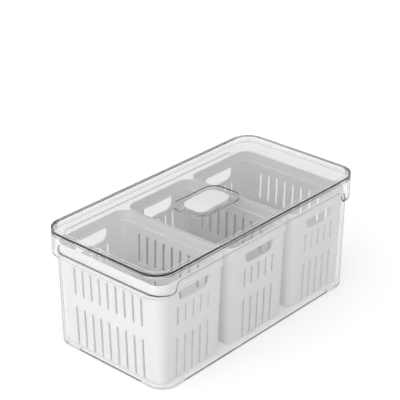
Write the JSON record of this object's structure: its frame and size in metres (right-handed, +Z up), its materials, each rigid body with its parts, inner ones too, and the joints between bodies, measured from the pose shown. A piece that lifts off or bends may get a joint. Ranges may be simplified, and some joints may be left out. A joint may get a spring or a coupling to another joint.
{
  "type": "produce keeper",
  "caption": "Clear rectangular produce bin with an overhanging collar, slotted white lift-out baskets and a clear lid with a rocker vent in a finger well.",
  "frame": {"origin": "centre of the closed keeper's base, on the surface that its feet stand on", "axes": "+X along the long side, +Y along the short side, +Z up through the lid"},
  "size_m": [0.378, 0.19, 0.1615],
  "materials": {
    "clear_bin": "clear, polished",
    "white_basket": "satin",
    "clear_lid": "clear, polished",
    "white_rocker": "satin"
  },
  "bodies": {
    "bin": {"bin": "clear_bin", "basket_left": "white_basket", "basket_middle": "white_basket", "basket_right": "white_basket"},
    "lid": {"lid": "clear_lid"},
    "rocker": {"vent_rocker": "white_rocker"}
  },
  "joints": [
    {"name": "lid_lift", "type": "slide", "parent": "bin", "child": "lid", "axis": [0, 0, 1], "range_m": [0, 0.179]},
    {"name": "vent_tilt", "type": "hinge", "parent": "lid", "child": "rocker", "pos_m": [0, 0, 0.1532], "axis": [0, -1, 0], "range_deg": [0, 8]}
  ]
}
